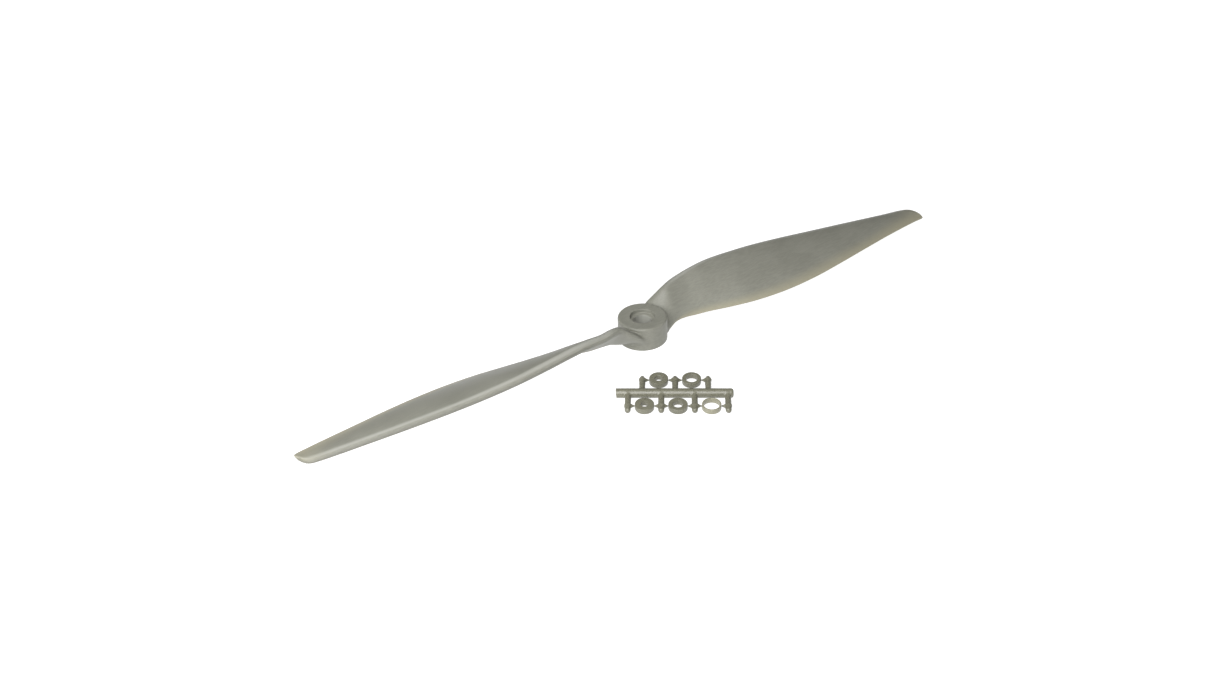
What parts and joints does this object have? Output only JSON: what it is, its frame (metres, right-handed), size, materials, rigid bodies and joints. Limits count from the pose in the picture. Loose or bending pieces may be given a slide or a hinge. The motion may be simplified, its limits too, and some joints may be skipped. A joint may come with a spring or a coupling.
{
  "type": "model aircraft propeller",
  "caption": "Fixed-pitch electric flight propeller with slender twisted blades, a round bored hub and a moulded frame of shaft adapter rings.",
  "frame": {"origin": "on the spin axis at the hub's rear face, which is the face that rests on the table and meets the motor", "axes": "+Z along the spin axis towards the front of the propeller, +X along the blades, +Y across them"},
  "size_m": [0.3048, 0.0803, 0.0171],
  "materials": {
    "propeller_plastic": "satin moulded grey glass-filled nylon, thin edges slightly translucent and warmer",
    "frame_plastic": "satin moulded olive-grey nylon"
  },
  "bodies": {
    "propeller": {"hub": "propeller_plastic", "blade_1": "propeller_plastic", "blade_2": "propeller_plastic"},
    "frame": {"ring_frame": "frame_plastic"},
    "adapter_3mm": {"ring_3mm": "frame_plastic"},
    "adapter_eighth_inch": {"ring_eighth_inch": "frame_plastic"},
    "adapter_4mm": {"ring_4mm": "frame_plastic"},
    "adapter_three_sixteenths": {"ring_three_sixteenths": "frame_plastic"},
    "adapter_quarter_inch": {"ring_quarter_inch": "frame_plastic"}
  },
  "joints": [
    {"name": "frame_lift", "type": "slide", "parent": "propeller", "child": "frame", "axis": [0, 0, 1], "range_m": [0, 0.04]},
    {"name": "ring_3mm_pull", "type": "slide", "parent": "frame", "child": "adapter_3mm", "axis": [-0.0404, -0.0481, 0.998], "range_m": [0, 0.012]},
    {"name": "ring_eighth_inch_pull", "type": "slide", "parent": "frame", "child": "adapter_eighth_inch", "axis": [-0.0404, -0.0481, 0.998], "range_m": [0, 0.012]},
    {"name": "ring_4mm_pull", "type": "slide", "parent": "frame", "child": "adapter_4mm", "axis": [-0.0404, -0.0481, 0.998], "range_m": [0, 0.012]},
    {"name": "ring_three_sixteenths_pull", "type": "slide", "parent": "frame", "child": "adapter_three_sixteenths", "axis": [-0.0404, -0.0481, 0.998], "range_m": [0, 0.012]},
    {"name": "ring_quarter_inch_pull", "type": "slide", "parent": "frame", "child": "adapter_quarter_inch", "axis": [-0.0404, -0.0481, 0.998], "range_m": [0, 0.012]}
  ]
}
